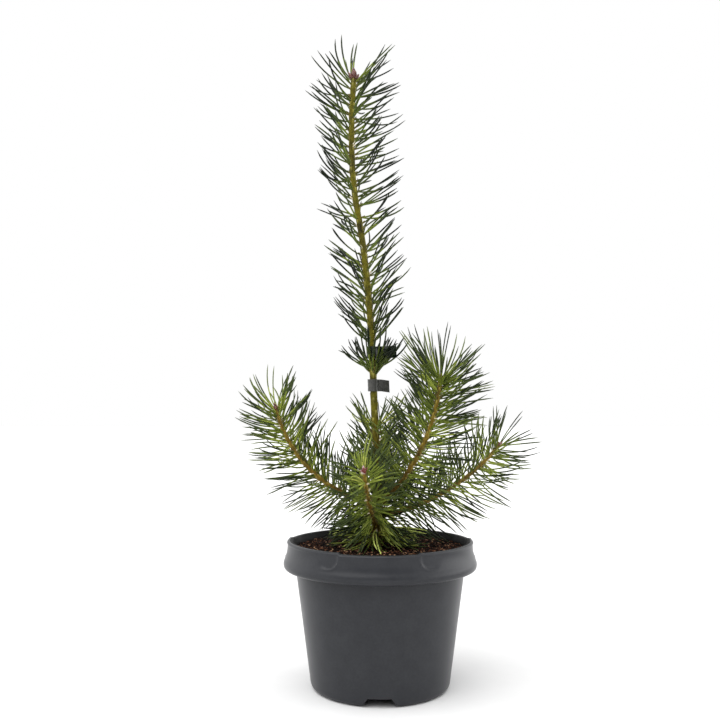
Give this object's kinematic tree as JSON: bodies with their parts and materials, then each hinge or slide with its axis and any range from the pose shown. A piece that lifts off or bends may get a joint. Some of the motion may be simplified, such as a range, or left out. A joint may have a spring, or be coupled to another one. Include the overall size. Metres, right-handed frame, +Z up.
{
  "type": "potted scots pine",
  "caption": "Young scots pine with an upright leader and a whorl of low needled boughs, standing in a round grey plastic nursery pot filled with soil.",
  "frame": {"origin": "middle of the pot's flat underside, on the plane it stands on", "axes": "+Z up along the pot's axis, -Y towards the side seen in front, +X to its right"},
  "size_m": [0.3385, 0.2309, 0.6916],
  "materials": {
    "pot": "satin",
    "soil": "matte",
    "bark": "matte",
    "tape": "satin",
    "needles": "satin"
  },
  "bodies": {
    "root": {"pot": "pot", "soil": "soil", "trunk": "bark", "bough_left": "bark", "bough_front": "bark", "bough_right_inner": "bark", "bough_right_outer": "bark", "bough_back": "bark", "tape_band_upper": "tape", "tape_band_lower": "tape", "needles_left": "needles", "needles_front": "needles", "needles_right_inner": "needles", "needles_right_outer": "needles", "needles_back": "needles", "needles_trunk_low": "needles", "needles_trunk_middle": "needles", "needles_leader_low": "needles", "needles_leader_middle": "needles", "needles_leader_top": "needles"}
  },
  "joints": []
}
